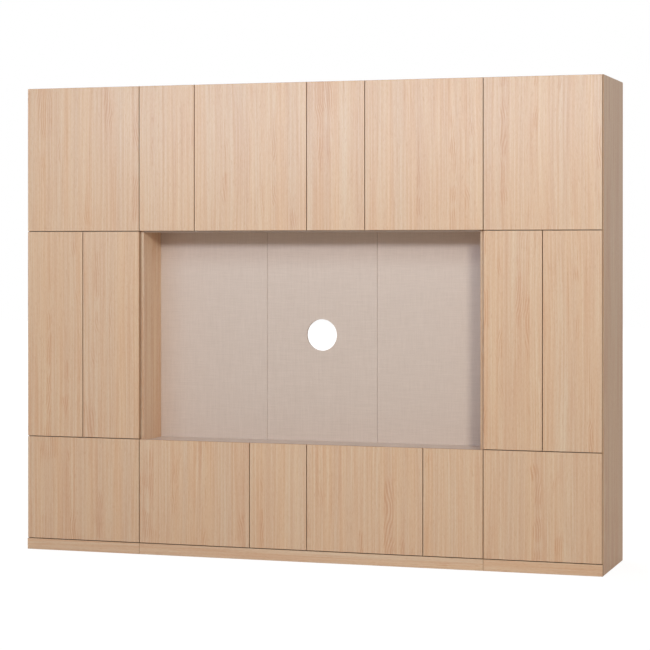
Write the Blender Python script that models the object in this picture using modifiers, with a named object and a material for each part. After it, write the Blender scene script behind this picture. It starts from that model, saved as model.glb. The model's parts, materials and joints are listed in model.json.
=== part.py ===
"""Wall-wide entertainment center: two full-height towers, a bridge of top cupboards,
a row of base cupboards and an open television niche between them, with handleless doors.

Metres, +Z up. The fronts face -Y. The origin is under the middle of the whole box.
"""

import math
from itertools import accumulate

import bmesh
import bpy
from mathutils import Matrix, Vector

# Overall size
HEIGHT = 2.38
DEPTH = 0.55

# Bay widths, between the middles of the upright door gaps
LEFT_BAY = 0.626
NARROW_BAY = 0.3006
WIDE_BAY = 0.596
RIGHT_BAY = 0.5808

# Heights of the middles of the two level door gaps, and of the plinth
LOWER_GAP_Z = 0.585
UPPER_GAP_Z = 1.6415
PLINTH_HEIGHT = 0.0558

# Board thicknesses
CARCASS_BOARD = 0.016
DOOR_BOARD = 0.018
NICHE_BACK_BOARD = 0.016
REAR_BOARD = 0.008
EDGE_CHAMFER = 0.0008

# Gaps and reveals
TOUCH_GAP = 0.0003
DOOR_GAP = 0.0036
BUMPER_GAP = 0.002
END_REVEAL = 0.0035
TOP_REVEAL = 0.002
PANEL_SEAM = 0.001
PLINTH_SEAM = 0.0006

# Offsets of boards from the door gaps in front of them
CENTRE_SIDE_OFFSET = 0.0024
UPPER_DECK_DROP = 0.0055
NICHE_FLOOR_DROP = 0.007
BOTTOM_BOARD_LIFT = 0.0006

# Niche depth behind the carcass fronts, and the cable hole
NICHE_DEPTH = 0.2245
CABLE_HOLE_RADIUS = 0.08
CABLE_HOLE_RISE = 0.009
NICHE_PANELS = ("left", "middle", "right")

# Groove in the niche floor and ceiling for the niche back
PANEL_GROOVE_DEPTH = 0.003

# Rear boards sit in grooves of the upright boards
REAR_INSET = 0.010
GROOVE_DEPTH = 0.007

# Shelves
SHELF_SETBACK = 0.030
TOP_SHELF_COUNT = 1
MIDDLE_SHELF_COUNT = 2

# Concealed hinges: cup bored into the door, arm and mounting plate on the carcass
CUP_RADIUS = 0.0175
CUP_BORE_DEPTH = 0.0125
CUP_EDGE = 0.0045
HINGE_INSET = 0.100
ARM_CLEARANCE = 0.001
ARM_THICKNESS = 0.010
ARM_LENGTH = 0.062
NOSE_TIP_GAP = 0.0035
NOSE_CHAMFER = 0.002
PLATE_THICKNESS = 0.003
PLATE_SETBACK = 0.037
PLATE_WING_WIDTH = 0.014
PLATE_WING_HEIGHT = 0.046
PLATE_RAIL_LENGTH = 0.040
SEAT_DEPTH = 0.001
NOSE_REACH_SHARE = 1.55
ARM_HEIGHT_SHARE = 0.92
RAIL_HEIGHT_SHARE = 0.8
SHOULDER_SHARE = 0.35
CUP_SIDES = 16

# Push latches that stand in for handles
LATCH_WIDTH = 0.014
LATCH_HEIGHT = 0.012
LATCH_LENGTH = 0.055
LATCH_INSET = 0.045
PLUNGER_RADIUS = 0.0032
PLUNGER_SIDES = 8

# Levelling feet under the long base board
FOOT_STEM_RADIUS = 0.013
FOOT_PAD_RADIUS = 0.022
FOOT_PAD_HEIGHT = 0.007
FOOT_INSET = 0.060
FOOT_SIDES = 12

# Hinges on one door of each row
TOP_HINGE_COUNT = 2
MIDDLE_HINGE_COUNT = 3
BOTTOM_HINGE_COUNT = 2

# How far a cutter runs past what it cuts
OVERRUN = 0.002
HOLE_SIDES = 48

# Middles of the upright door gaps, from the left end
TOP_BAYS = (LEFT_BAY, NARROW_BAY, WIDE_BAY, NARROW_BAY, WIDE_BAY)
BOTTOM_BAYS = (LEFT_BAY, WIDE_BAY, NARROW_BAY, WIDE_BAY, NARROW_BAY)
TOP_LINES = tuple(accumulate(TOP_BAYS))
BOTTOM_LINES = tuple(accumulate(BOTTOM_BAYS))
CENTRE_LEFT = TOP_LINES[0]
CENTRE_RIGHT = TOP_LINES[-1]
WIDTH = CENTRE_RIGHT + RIGHT_BAY
LEFT_PAIR_LINE = LEFT_BAY / 2
RIGHT_PAIR_LINE = CENTRE_RIGHT + RIGHT_BAY / 2

# Depths behind the door fronts
CARCASS_FRONT = DOOR_BOARD + BUMPER_GAP
REAR_BOARD_FRONT = DEPTH - REAR_INSET - REAR_BOARD
BOARD_BACK = REAR_BOARD_FRONT - TOUCH_GAP
NICHE_BACK_FRONT = CARCASS_FRONT + NICHE_DEPTH

# Heights of the boards
BOTTOM_BOARD_LOW = PLINTH_HEIGHT + DOOR_GAP + BOTTOM_BOARD_LIFT
BOTTOM_BOARD_TOP = BOTTOM_BOARD_LOW + CARCASS_BOARD
TOWER_LOWER_DECK_LOW = LOWER_GAP_Z - CARCASS_BOARD / 2
TOWER_LOWER_DECK_TOP = LOWER_GAP_Z + CARCASS_BOARD / 2
NICHE_FLOOR_TOP = LOWER_GAP_Z - NICHE_FLOOR_DROP
NICHE_FLOOR_LOW = NICHE_FLOOR_TOP - CARCASS_BOARD
UPPER_DECK_LOW = UPPER_GAP_Z - UPPER_DECK_DROP
UPPER_DECK_TOP = UPPER_DECK_LOW + CARCASS_BOARD
TOP_BOARD_LOW = HEIGHT - CARCASS_BOARD

# Upright boards: low and high faces, from the left end
LEFT_END = (0, CARCASS_BOARD)
CENTRE_SIDE_LEFT = (
    CENTRE_LEFT + CENTRE_SIDE_OFFSET,
    CENTRE_LEFT + CENTRE_SIDE_OFFSET + CARCASS_BOARD,
)
LEFT_TOWER_SIDE = (
    CENTRE_LEFT - DOOR_GAP / 2 - CARCASS_BOARD,
    CENTRE_LEFT - DOOR_GAP / 2,
)
CENTRE_SIDE_RIGHT = (
    CENTRE_RIGHT - CENTRE_SIDE_OFFSET - CARCASS_BOARD,
    CENTRE_RIGHT - CENTRE_SIDE_OFFSET,
)
RIGHT_TOWER_SIDE = (
    CENTRE_RIGHT + DOOR_GAP / 2,
    CENTRE_RIGHT + DOOR_GAP / 2 + CARCASS_BOARD,
)
RIGHT_END = (WIDTH - CARCASS_BOARD, WIDTH)

# Finishes: sRGB colour, roughness, metallic
OAK = ("pale_oak", (212, 180, 152), 0.55, 0.0)
LAMINATE = ("beige_laminate", (197, 178, 165), 0.6, 0.0)
REAR_SHEET = ("rear_sheet", (203, 190, 176), 0.75, 0.0)


def collection(name):
    """A new collection linked under the scene."""
    made = bpy.data.collections.new(name)
    bpy.context.scene.collection.children.link(made)
    return made


def linear(channel):
    """An sRGB channel of 0 to 255 as a linear value."""
    share = channel / 255
    if share <= 0.04045:
        return share / 12.92
    return ((share + 0.055) / 1.055) ** 2.4


def material(finish):
    """The Principled material of a finish, made once."""
    name, colour, roughness, metallic = finish
    found = bpy.data.materials.get(name)
    if found:
        return found
    made = bpy.data.materials.new(name)
    made.use_nodes = True
    shader = made.node_tree.nodes["Principled BSDF"]
    shader.inputs["Base Color"].default_value = (*(linear(c) for c in colour), 1)
    shader.inputs["Roughness"].default_value = roughness
    shader.inputs["Metallic"].default_value = metallic
    return made


def place(x, v, z):
    """World place of a point given from the left end, the door fronts and the floor."""
    return Vector((x - WIDTH / 2, v - DEPTH / 2, z))


def mesh_object(name, bm, location, group):
    """An object made from a bmesh whose origin is at location."""
    mesh = bpy.data.meshes.new(name)
    bm.to_mesh(mesh)
    bm.free()
    made = bpy.data.objects.new(name, mesh)
    made.location = location
    group.objects.link(made)
    return made


def cutter_object(name, bm):
    """A hidden object that a Boolean modifier uses."""
    made = mesh_object(name, bm, Vector(), CUTTERS)
    made.hide_render = True
    made.display_type = "WIRE"
    return made


def add_box(bm, low, high):
    """A box between two corners, added to a bmesh."""
    low = Vector(low)
    size = Vector(high) - low
    middle = low + size / 2
    scale = Matrix.Diagonal((*size, 1))
    bmesh.ops.create_cube(bm, size=1, matrix=Matrix.Translation(middle) @ scale)


def add_upright_cylinder(bm, middle, radius, length, sides, turn=Matrix()):
    """A closed cylinder along Z round a middle point, turned by a matrix if one is given."""
    bmesh.ops.create_cone(
        bm,
        cap_ends=True,
        segments=sides,
        radius1=radius,
        radius2=radius,
        depth=length,
        matrix=Matrix.Translation(Vector(middle)) @ turn,
    )


def add_cylinder(bm, middle, radius, length, sides):
    """A closed cylinder along Y round a middle point, added to a bmesh."""
    turn = Matrix.Rotation(math.radians(90), 4, "X")
    add_upright_cylinder(bm, middle, radius, length, sides, turn)


def chamfer(made):
    """The small edge chamfer that every edged board has."""
    bevel = made.modifiers.new("edge_chamfer", "BEVEL")
    bevel.width = EDGE_CHAMFER
    bevel.segments = 1
    bevel.limit_method = "ANGLE"


def combine(made, other, operation):
    """A Boolean modifier of made with other."""
    boolean = made.modifiers.new(other.name, "BOOLEAN")
    boolean.object = other
    boolean.operation = operation
    boolean.solver = "EXACT"


def ease_front_ends(bm, width):
    """Chamfers the front edges of a centred box at its top and bottom."""
    ends = []
    for edge in bm.edges:
        first, second = edge.verts
        if max(first.co.y, second.co.y) < 0 and first.co.z * second.co.z > 0:
            ends.append(edge)
    bmesh.ops.bevel(bm, geom=ends, offset=width, segments=1, affect="EDGES")


def board(name, low, high, finish, lead_in=0):
    """A flat board between two corners given from the left end, the fronts and the floor."""
    corner_low = place(*low)
    corner_high = place(*high)
    middle = (corner_low + corner_high) / 2
    bm = bmesh.new()
    add_box(bm, corner_low - middle, corner_high - middle)
    if lead_in:
        ease_front_ends(bm, lead_in)
    made = mesh_object(name, bm, middle, PARTS)
    made.data.materials.append(material(finish))
    chamfer(made)
    return made


def upright(name, faces, low_z, high_z, back, finish):
    """An upright board between two X faces, from the carcass front to back."""
    return board(name, (faces[0], CARCASS_FRONT, low_z), (faces[1], back, high_z), finish)


def deck(name, left, right, low_z, finish):
    """A level board one carcass board thick between two upright faces."""
    low = (left + TOUCH_GAP, CARCASS_FRONT, low_z)
    high = (right - TOUCH_GAP, BOARD_BACK, low_z + CARCASS_BOARD)
    return board(name, low, high, finish)


def divider(name, line, low_z, high_z):
    """An upright between two decks, centred behind a door gap."""
    faces = (line - CARCASS_BOARD / 2, line + CARCASS_BOARD / 2)
    return upright(name, faces, low_z + TOUCH_GAP, high_z - TOUCH_GAP, BOARD_BACK, LAMINATE)


def rear_sheet(name, left, right, low_z, high_z):
    """A rear board whose ends stand in the grooves of two uprights."""
    low = (left - GROOVE_DEPTH + TOUCH_GAP, REAR_BOARD_FRONT, low_z)
    high = (right + GROOVE_DEPTH - TOUCH_GAP, REAR_BOARD_FRONT + REAR_BOARD, high_z)
    return board(name, low, high, REAR_SHEET)


def cut_groove(made, face, side):
    """Cuts the rear board's groove into an upright at its face; side is +1 or -1."""
    inner = face - side * GROOVE_DEPTH
    outer = face + side * OVERRUN
    low = (min(inner, outer), REAR_BOARD_FRONT - TOUCH_GAP, -OVERRUN)
    high = (max(inner, outer), REAR_BOARD_FRONT + REAR_BOARD + TOUCH_GAP, HEIGHT + OVERRUN)
    bm = bmesh.new()
    add_box(bm, place(*low), place(*high))
    combine(made, cutter_object(made.name + "_groove", bm), "DIFFERENCE")


def shelves(name, left, right, low_z, high_z, count):
    """Loose shelves that share the clear height of a bay equally."""
    pitch = (high_z - low_z + CARCASS_BOARD) / (count + 1)
    for index in range(count):
        under = low_z + (index + 1) * pitch - CARCASS_BOARD
        low = (left + TOUCH_GAP, CARCASS_FRONT + SHELF_SETBACK, under)
        high = (right - TOUCH_GAP, BOARD_BACK, under + CARCASS_BOARD)
        label = name if count == 1 else f"{name}_{index + 1}"
        board(label, low, high, LAMINATE)


def hinge_heights(low_z, high_z, count):
    """Heights of the hinges of one door, evenly spread between the end insets."""
    first = low_z + HINGE_INSET
    step = (high_z - low_z - 2 * HINGE_INSET) / (count - 1)
    return [first + index * step for index in range(count)]


def arm_outline(face):
    """The arm in plan: u runs in from the door's hinged edge, v back from its front."""
    near = math.hypot(CUP_EDGE, DOOR_BOARD) + ARM_CLEARANCE
    far = CUP_EDGE + NOSE_REACH_SHARE * CUP_RADIUS
    tip = DOOR_BOARD - CUP_BORE_DEPTH + NOSE_TIP_GAP
    inner = face + PLATE_THICKNESS - SEAT_DEPTH
    outer = face + PLATE_THICKNESS + ARM_THICKNESS
    tail = CARCASS_FRONT + ARM_LENGTH
    crank = CARCASS_FRONT + SHOULDER_SHARE * ARM_LENGTH
    throat = CARCASS_FRONT + SHOULDER_SHARE * PLATE_SETBACK
    return [
        (inner, tail),
        (inner, crank),
        (near, throat),
        (near, tip + NOSE_CHAMFER),
        (near + NOSE_CHAMFER, tip),
        (far - NOSE_CHAMFER, tip),
        (far, tip + NOSE_CHAMFER),
        (far, throat),
        (outer, crank),
        (outer, tail),
    ]


def outline_mesh(name, points, height):
    """A closed prism over a plan outline, centred in height."""
    curve = bpy.data.curves.new(name, "CURVE")
    curve.dimensions = "2D"
    curve.fill_mode = "BOTH"
    curve.extrude = height / 2
    spline = curve.splines.new("POLY")
    spline.points.add(len(points) - 1)
    for point, (u, v) in zip(spline.points, points):
        point.co = (u, v, 0, 1)
    spline.use_cyclic_u = True
    holder = bpy.data.objects.new(name, curve)
    CUTTERS.objects.link(holder)
    graph = bpy.context.evaluated_depsgraph_get()
    mesh = bpy.data.meshes.new_from_object(holder.evaluated_get(graph))
    bpy.data.objects.remove(holder)
    bm = bmesh.new()
    bm.from_mesh(mesh)
    bmesh.ops.remove_doubles(bm, verts=bm.verts, dist=TOUCH_GAP / 10)
    bmesh.ops.recalc_face_normals(bm, faces=bm.faces)
    bm.to_mesh(mesh)
    bm.free()
    return mesh


def add_turned_copy(bm, mesh, edge, side, z):
    """A copy of a mesh in door-edge axes, set at a door's hinged edge."""
    spot = place(edge, 0, z)
    matrix = Matrix.Translation(spot) @ Matrix.Diagonal((side, 1, 1, 1))
    part = bmesh.new()
    part.from_mesh(mesh)
    bmesh.ops.transform(part, matrix=matrix, verts=part.verts)
    if side < 0:
        bmesh.ops.reverse_faces(part, faces=part.faces)
    moved = bpy.data.meshes.new(mesh.name + "_copy")
    part.to_mesh(moved)
    part.free()
    bm.from_mesh(moved)
    bpy.data.meshes.remove(moved)


def add_hinges(carrier, face_x, edge, side, heights):
    """Fuses the mounting plates and arms of one door's hinges to its upright."""
    face = side * (face_x - edge)
    arm_height = ARM_HEIGHT_SHARE * CUP_RADIUS
    mesh = outline_mesh(carrier.name + "_arm", arm_outline(face), arm_height)
    wings = bmesh.new()
    rails = bmesh.new()
    arms = bmesh.new()
    sunk = face_x - side * SEAT_DEPTH
    proud = face_x + side * PLATE_THICKNESS
    low_x = min(sunk, proud)
    high_x = max(sunk, proud)
    setback = CARCASS_FRONT + PLATE_SETBACK
    for z in heights:
        half = PLATE_WING_HEIGHT / 2
        front = setback - PLATE_WING_WIDTH / 2
        low = place(low_x, front, z - half)
        high = place(high_x, front + PLATE_WING_WIDTH, z + half)
        add_box(wings, low, high)
        half = RAIL_HEIGHT_SHARE * arm_height / 2
        front = setback - PLATE_RAIL_LENGTH / 2
        low = place(low_x, front, z - half)
        high = place(high_x, front + PLATE_RAIL_LENGTH, z + half)
        add_box(rails, low, high)
        add_turned_copy(arms, mesh, edge, side, z)
    label = f"{carrier.name}_{len(carrier.modifiers)}"
    combine(carrier, cutter_object(label + "_wings", wings), "UNION")
    combine(carrier, cutter_object(label + "_rails", rails), "UNION")
    combine(carrier, cutter_object(label + "_arms", arms), "UNION")


def add_latches(carrier, under_z, spots):
    """Fuses push latches under a level board, each at a place across the front."""
    bodies = bmesh.new()
    plungers = bmesh.new()
    front = CARCASS_FRONT
    for x in spots:
        low = place(x - LATCH_WIDTH / 2, front, under_z - LATCH_HEIGHT)
        high = place(x + LATCH_WIDTH / 2, front + LATCH_LENGTH, under_z + SEAT_DEPTH)
        add_box(bodies, low, high)
        tip = DOOR_BOARD + TOUCH_GAP
        length = front + LATCH_LENGTH / 2 - tip
        middle = place(x, tip + length / 2, under_z - LATCH_HEIGHT / 2)
        add_cylinder(plungers, middle, PLUNGER_RADIUS, length, PLUNGER_SIDES)
    combine(carrier, cutter_object(carrier.name + "_latches", bodies), "UNION")
    combine(carrier, cutter_object(carrier.name + "_plungers", plungers), "UNION")


def add_feet(carrier, under_z, lines):
    """Fuses levelling feet under a level board, a front and a rear one at each line."""
    stems = bmesh.new()
    pads = bmesh.new()
    for x in lines:
        for v in (CARCASS_FRONT + FOOT_INSET, BOARD_BACK - FOOT_INSET):
            low = FOOT_PAD_HEIGHT - SEAT_DEPTH
            high = under_z + SEAT_DEPTH
            middle = place(x, v, (low + high) / 2)
            add_upright_cylinder(stems, middle, FOOT_STEM_RADIUS, high - low, FOOT_SIDES)
            middle = place(x, v, FOOT_PAD_HEIGHT / 2)
            add_upright_cylinder(pads, middle, FOOT_PAD_RADIUS, FOOT_PAD_HEIGHT, FOOT_SIDES)
    combine(carrier, cutter_object(carrier.name + "_foot_stems", stems), "UNION")
    combine(carrier, cutter_object(carrier.name + "_foot_pads", pads), "UNION")


def door(name, left, right, low_z, high_z, hinge, count):
    """A door whose origin stands on its hinge axis, with the cup bores in its back."""
    side = 1 if hinge == "left" else -1
    edge = left if hinge == "left" else right
    origin = place(edge, 0, low_z)
    bm = bmesh.new()
    add_box(bm, place(left, 0, low_z) - origin, place(right, DOOR_BOARD, high_z) - origin)
    made = mesh_object(name, bm, origin, PARTS)
    made.data.materials.append(material(OAK))
    chamfer(made)
    cups = bmesh.new()
    length = CUP_BORE_DEPTH + OVERRUN
    for z in hinge_heights(low_z, high_z, count):
        spot = edge + side * (CUP_EDGE + CUP_RADIUS)
        middle = place(spot, DOOR_BOARD - CUP_BORE_DEPTH + length / 2, z)
        add_cylinder(cups, middle, CUP_RADIUS, length, CUP_SIDES)
    combine(made, cutter_object(name + "_cups", cups), "DIFFERENCE")
    return made


def door_rows():
    """Every door: name, left, right, low, high, hinged side and number of hinges."""
    half = DOOR_GAP / 2
    rows = []
    top = (UPPER_GAP_Z + half, HEIGHT - TOP_REVEAL)
    middle = (LOWER_GAP_Z + half, UPPER_GAP_Z - half)
    bottom = (PLINTH_HEIGHT + DOOR_GAP, LOWER_GAP_Z - half)
    for label, lines, heights, count in (
        ("top_door", TOP_LINES, top, TOP_HINGE_COUNT),
        ("bottom_door", BOTTOM_LINES, bottom, BOTTOM_HINGE_COUNT),
    ):
        lefts = (END_REVEAL, *(line + half for line in lines))
        rights = (*(line - half for line in lines), WIDTH - END_REVEAL)
        for index, (left, right) in enumerate(zip(lefts, rights)):
            hinge = "left" if index < len(lefts) / 2 else "right"
            rows.append((f"{label}_{index + 1}", left, right, *heights, hinge, count))
    edges = (
        (END_REVEAL, LEFT_PAIR_LINE - half, "left"),
        (LEFT_PAIR_LINE + half, LEFT_TOWER_SIDE[1], "right"),
        (RIGHT_TOWER_SIDE[0], RIGHT_PAIR_LINE - half, "left"),
        (RIGHT_PAIR_LINE + half, WIDTH - END_REVEAL, "right"),
    )
    for index, (left, right, hinge) in enumerate(edges):
        name = f"middle_door_{index + 1}"
        rows.append((name, left, right, *middle, hinge, MIDDLE_HINGE_COUNT))
    return rows


def tower(name, left, right):
    """The level boards, rear board and shelves of one tower between two inner faces."""
    boards = {
        "top": deck(name + "_top", left, right, TOP_BOARD_LOW, LAMINATE),
        "upper": deck(name + "_upper_deck", left, right, UPPER_DECK_LOW, LAMINATE),
        "lower": deck(name + "_lower_deck", left, right, TOWER_LOWER_DECK_LOW, LAMINATE),
        "bottom": deck(name + "_bottom", left, right, BOTTOM_BOARD_LOW, LAMINATE),
    }
    rear_sheet(name + "_back", left, right, BOTTOM_BOARD_LOW, HEIGHT - TOP_REVEAL)
    shelves(name + "_top_shelf", left, right, UPPER_DECK_TOP, TOP_BOARD_LOW, TOP_SHELF_COUNT)
    low = TOWER_LOWER_DECK_TOP
    shelves(name + "_middle_shelf", left, right, low, UPPER_DECK_LOW, MIDDLE_SHELF_COUNT)
    return boards


def centre():
    """The level boards, dividers, rear boards and shelves between the two towers."""
    left = CENTRE_SIDE_LEFT[1]
    right = CENTRE_SIDE_RIGHT[0]
    boards = {
        "top": deck("bridge_top", left, right, TOP_BOARD_LOW, LAMINATE),
        "upper": deck("niche_ceiling", left, right, UPPER_DECK_LOW, LAMINATE),
        "lower": deck("niche_floor", left, right, NICHE_FLOOR_LOW, LAMINATE),
        "bottom": deck("base_bottom", left, right, BOTTOM_BOARD_LOW, LAMINATE),
    }
    add_feet(boards["bottom"], BOTTOM_BOARD_LOW, BOTTOM_LINES[1:-1])
    dividers = {}
    for index, line in enumerate(TOP_LINES[1:-1]):
        name = f"bridge_divider_{index + 1}"
        dividers[name] = divider(name, line, UPPER_DECK_TOP, TOP_BOARD_LOW)
    for index, line in enumerate(BOTTOM_LINES[1:-1]):
        name = f"base_divider_{index + 1}"
        dividers[name] = divider(name, line, BOTTOM_BOARD_TOP, NICHE_FLOOR_LOW)
    rear_sheet("bridge_back", left, right, UPPER_DECK_LOW, HEIGHT - TOP_REVEAL)
    rear_sheet("base_back", left, right, BOTTOM_BOARD_LOW, NICHE_FLOOR_TOP)
    half = CARCASS_BOARD / 2
    inner_lines = TOP_LINES[1:-1]
    starts = (left, *(line + half for line in inner_lines))
    ends = (*(line - half for line in inner_lines), right)
    for index, (start, end) in enumerate(zip(starts, ends)):
        name = f"bridge_shelf_{index + 1}"
        shelves(name, start, end, UPPER_DECK_TOP, TOP_BOARD_LOW, TOP_SHELF_COUNT)
    return boards, dividers


def cut_panel_groove(made, face, side):
    """Cuts the niche back's groove along a level board at its face; side is +1 or -1."""
    inner = face - side * PANEL_GROOVE_DEPTH
    outer = face + side * OVERRUN
    front = NICHE_BACK_FRONT - TOUCH_GAP
    back = NICHE_BACK_FRONT + NICHE_BACK_BOARD + TOUCH_GAP
    low = (CENTRE_SIDE_LEFT[0], front, min(inner, outer))
    high = (CENTRE_SIDE_RIGHT[1], back, max(inner, outer))
    bm = bmesh.new()
    add_box(bm, place(*low), place(*high))
    combine(made, cutter_object(made.name + "_groove", bm), "DIFFERENCE")


def niche_back(floor, ceiling):
    """Three equal panels in the grooves of the niche, the middle one with a cable hole.

    Their front edges are chamfered as deep as the grooves, so the faces end at the boards.
    """
    cut_panel_groove(floor, NICHE_FLOOR_TOP, 1)
    cut_panel_groove(ceiling, UPPER_DECK_LOW, -1)
    low_z = NICHE_FLOOR_TOP - PANEL_GROOVE_DEPTH + TOUCH_GAP
    high_z = UPPER_DECK_LOW + PANEL_GROOVE_DEPTH - TOUCH_GAP
    left = CENTRE_SIDE_LEFT[1] + TOUCH_GAP
    right = CENTRE_SIDE_RIGHT[0] - TOUCH_GAP
    seams = (len(NICHE_PANELS) - 1) * PANEL_SEAM
    width = (right - left - seams) / len(NICHE_PANELS)
    for index, label in enumerate(NICHE_PANELS):
        start = left + index * (width + PANEL_SEAM)
        low = (start, NICHE_BACK_FRONT, low_z)
        high = (start + width, NICHE_BACK_FRONT + NICHE_BACK_BOARD, high_z)
        panel = board("niche_back_" + label, low, high, LAMINATE, PANEL_GROOVE_DEPTH)
        if label == "middle":
            bm = bmesh.new()
            height = (NICHE_FLOOR_TOP + UPPER_DECK_LOW) / 2 + CABLE_HOLE_RISE
            middle = place(start + width / 2, NICHE_BACK_FRONT + NICHE_BACK_BOARD / 2, height)
            length = NICHE_BACK_BOARD + 2 * OVERRUN
            add_cylinder(bm, middle, CABLE_HOLE_RADIUS, length, HOLE_SIDES)
            combine(panel, cutter_object("cable_hole", bm), "DIFFERENCE")


def plinths():
    """Three plinth boards fixed to the front edges of the uprights."""
    back = CARCASS_FRONT - TOUCH_GAP
    front = back - DOOR_BOARD
    half = PLINTH_SEAM / 2
    spans = (
        ("plinth_left", 0, CENTRE_LEFT - half),
        ("plinth_middle", CENTRE_LEFT + half, CENTRE_RIGHT - half),
        ("plinth_right", CENTRE_RIGHT + half, WIDTH),
    )
    for name, left, right in spans:
        board(name, (left, front, 0), (right, back, PLINTH_HEIGHT), OAK)


def uprights():
    """The six full-height boards, with the grooves for the rear boards."""
    table = (
        ("left_end_panel", LEFT_END, (1,)),
        ("left_tower_side", LEFT_TOWER_SIDE, (-1,)),
        ("centre_side_left", CENTRE_SIDE_LEFT, (1,)),
        ("centre_side_right", CENTRE_SIDE_RIGHT, (-1,)),
        ("right_tower_side", RIGHT_TOWER_SIDE, (1,)),
        ("right_end_panel", RIGHT_END, (-1,)),
    )
    made = {}
    for name, faces, sides in table:
        made[name] = upright(name, faces, 0, HEIGHT, DEPTH, OAK)
        for side in sides:
            face = faces[1] if side > 0 else faces[0]
            cut_groove(made[name], face, side)
    return made


def hang_doors(carriers, ceilings):
    """Makes every door, its hinges on the upright behind it and its push latch."""
    half = CARCASS_BOARD / 2
    faces = {
        "top_door_1": ("left_end_panel", LEFT_END[1]),
        "top_door_2": ("centre_side_left", CENTRE_SIDE_LEFT[1]),
        "top_door_3": ("bridge_divider_1", TOP_LINES[1] + half),
        "top_door_4": ("bridge_divider_3", TOP_LINES[3] - half),
        "top_door_5": ("centre_side_right", CENTRE_SIDE_RIGHT[0]),
        "top_door_6": ("right_end_panel", RIGHT_END[0]),
        "middle_door_1": ("left_end_panel", LEFT_END[1]),
        "middle_door_2": ("left_tower_side", LEFT_TOWER_SIDE[0]),
        "middle_door_3": ("right_tower_side", RIGHT_TOWER_SIDE[1]),
        "middle_door_4": ("right_end_panel", RIGHT_END[0]),
        "bottom_door_1": ("left_end_panel", LEFT_END[1]),
        "bottom_door_2": ("centre_side_left", CENTRE_SIDE_LEFT[1]),
        "bottom_door_3": ("base_divider_1", BOTTOM_LINES[1] + half),
        "bottom_door_4": ("base_divider_3", BOTTOM_LINES[3] - half),
        "bottom_door_5": ("centre_side_right", CENTRE_SIDE_RIGHT[0]),
        "bottom_door_6": ("right_end_panel", RIGHT_END[0]),
    }
    under = {"top": TOP_BOARD_LOW, "middle": UPPER_DECK_LOW}
    spots = {}
    for name, left, right, low_z, high_z, hinge, count in door_rows():
        door(name, left, right, low_z, high_z, hinge, count)
        side = 1 if hinge == "left" else -1
        edge = left if hinge == "left" else right
        free = right if hinge == "left" else left
        carrier, face_x = faces[name]
        heights = hinge_heights(low_z, high_z, count)
        add_hinges(carriers[carrier], face_x, edge, side, heights)
        row = name.split("_")[0]
        middle_x = (left + right) / 2
        if middle_x < CENTRE_LEFT:
            bay = "left"
        elif middle_x < CENTRE_RIGHT:
            bay = "centre"
        else:
            bay = "right"
        spots.setdefault((bay, row), []).append(free - side * LATCH_INSET)
    for (bay, row), places in spots.items():
        level = {"top": "top", "middle": "upper", "bottom": "lower"}[row]
        if row == "bottom":
            height = NICHE_FLOOR_LOW if bay == "centre" else TOWER_LOWER_DECK_LOW
        else:
            height = under[row]
        add_latches(ceilings[bay][level], height, places)


for old in list(bpy.data.objects):
    bpy.data.objects.remove(old, do_unlink=True)

PARTS = collection("entertainment_center")
CUTTERS = collection("cutters")

carriers = uprights()
centre_boards, centre_dividers = centre()
carriers.update(centre_dividers)
ceilings = {
    "left": tower("left_tower", LEFT_END[1], LEFT_TOWER_SIDE[0]),
    "centre": centre_boards,
    "right": tower("right_tower", RIGHT_TOWER_SIDE[1], RIGHT_END[0]),
}
niche_back(centre_boards["lower"], centre_boards["upper"])
plinths()
hang_doors(carriers, ceilings)
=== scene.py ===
"""Looks of a wall-wide entertainment center in pale oak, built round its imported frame.

Metres, +Z up, fronts towards -Y. Hinge kits stand in door axes: X runs in from the
door's hinged edge, Y runs back from the door fronts and Z runs up.
"""
import json
import math

import bmesh
import bpy
from mathutils import Matrix, Vector


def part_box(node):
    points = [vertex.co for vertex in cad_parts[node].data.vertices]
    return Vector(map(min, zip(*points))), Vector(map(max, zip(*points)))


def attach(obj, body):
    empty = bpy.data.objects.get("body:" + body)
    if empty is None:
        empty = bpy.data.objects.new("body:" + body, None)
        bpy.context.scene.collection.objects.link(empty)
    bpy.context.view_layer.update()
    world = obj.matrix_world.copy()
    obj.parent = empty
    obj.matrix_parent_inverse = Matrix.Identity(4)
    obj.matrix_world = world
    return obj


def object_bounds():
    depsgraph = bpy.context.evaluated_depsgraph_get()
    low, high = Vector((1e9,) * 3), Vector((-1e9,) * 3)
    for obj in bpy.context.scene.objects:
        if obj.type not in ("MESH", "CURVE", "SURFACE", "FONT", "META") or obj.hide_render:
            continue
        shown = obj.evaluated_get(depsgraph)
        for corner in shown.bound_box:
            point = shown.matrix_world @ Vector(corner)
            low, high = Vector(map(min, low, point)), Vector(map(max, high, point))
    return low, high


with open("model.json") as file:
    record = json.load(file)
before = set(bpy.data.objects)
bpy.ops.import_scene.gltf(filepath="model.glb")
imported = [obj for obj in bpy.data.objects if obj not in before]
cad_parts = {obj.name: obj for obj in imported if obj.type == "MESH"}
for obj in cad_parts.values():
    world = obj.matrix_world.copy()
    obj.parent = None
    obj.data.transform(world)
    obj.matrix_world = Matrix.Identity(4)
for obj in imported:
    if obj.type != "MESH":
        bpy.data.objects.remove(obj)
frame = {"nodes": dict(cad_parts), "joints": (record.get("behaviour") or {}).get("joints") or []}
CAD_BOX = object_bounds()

# Camera, fitted to the edges and door gaps of the photograph
PHOTO_PIXELS = 650
FOCAL_PIXELS = 2082.56
PRINCIPAL_ROW = 255.045
SENSOR_MM = 36
CAMERA_SPOT = (3.2867, -10.050, 1.5553)
CAMERA_YAW = 0.3134
CAMERA_PITCH = -0.0033

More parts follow.
